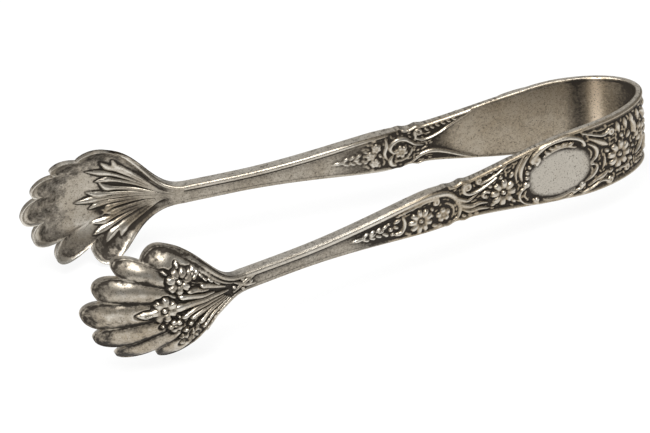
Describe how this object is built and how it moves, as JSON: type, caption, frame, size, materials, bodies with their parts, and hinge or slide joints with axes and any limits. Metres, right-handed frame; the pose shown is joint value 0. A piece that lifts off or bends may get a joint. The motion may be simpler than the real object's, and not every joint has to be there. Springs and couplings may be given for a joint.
{
  "type": "sugar tongs",
  "caption": "Bow-shaped spring sugar tongs in antique silver, with flowered scrollwork along the arms, an oval cartouche on each grip and lobed shell claws.",
  "frame": {"origin": "under the middle of the tongs' box, level with the lowest edge of the claws", "axes": "+X from the claws to the bow, +Y from the front arm to the rear arm, +Z across the width of the strip, upwards as the tongs lie on their side"},
  "size_m": [0.1148, 0.0426, 0.0235],
  "materials": {
    "antique_silver": null
  },
  "bodies": {
    "crown": {"bow_crown": "antique_silver"},
    "front_shoulder": {"front_bow_shoulder": "antique_silver"},
    "rear_shoulder": {"rear_bow_shoulder": "antique_silver"},
    "front_arm": {"front_handle_panel": "antique_silver", "front_stem": "antique_silver", "front_claw": "antique_silver"},
    "rear_arm": {"rear_handle_panel": "antique_silver", "rear_stem": "antique_silver", "rear_claw": "antique_silver"}
  },
  "joints": [
    {"name": "front_shoulder_flex", "type": "hinge", "parent": "crown", "child": "front_shoulder", "pos_m": [0.05481, -0.00392, 0.01196], "axis": [0, 0, -1], "range_deg": [-0.6, 4.4], "stiffness_Nm_per_rad": 5.5},
    {"name": "front_arm_squeeze", "type": "hinge", "parent": "front_shoulder", "child": "front_arm", "pos_m": [0.04814, -0.00757, 0.01196], "axis": [0, 0, -1], "range_deg": [-0.6, 4.4], "stiffness_Nm_per_rad": 5.5},
    {"name": "rear_shoulder_flex", "type": "hinge", "parent": "crown", "child": "rear_shoulder", "pos_m": [0.05481, 0.00392, 0.01196], "axis": [0, 0, 1], "range_deg": [-0.6, 4.4], "stiffness_Nm_per_rad": 5.5},
    {"name": "rear_arm_squeeze", "type": "hinge", "parent": "rear_shoulder", "child": "rear_arm", "pos_m": [0.04814, 0.00757, 0.01196], "axis": [0, 0, 1], "range_deg": [-0.6, 4.4], "stiffness_Nm_per_rad": 5.5}
  ],
  "couplings": [
    {"joint": "front_shoulder_flex", "follows": "front_arm_squeeze", "ratio": 1},
    {"joint": "rear_shoulder_flex", "follows": "front_arm_squeeze", "ratio": 1},
    {"joint": "rear_arm_squeeze", "follows": "front_arm_squeeze", "ratio": 1}
  ]
}
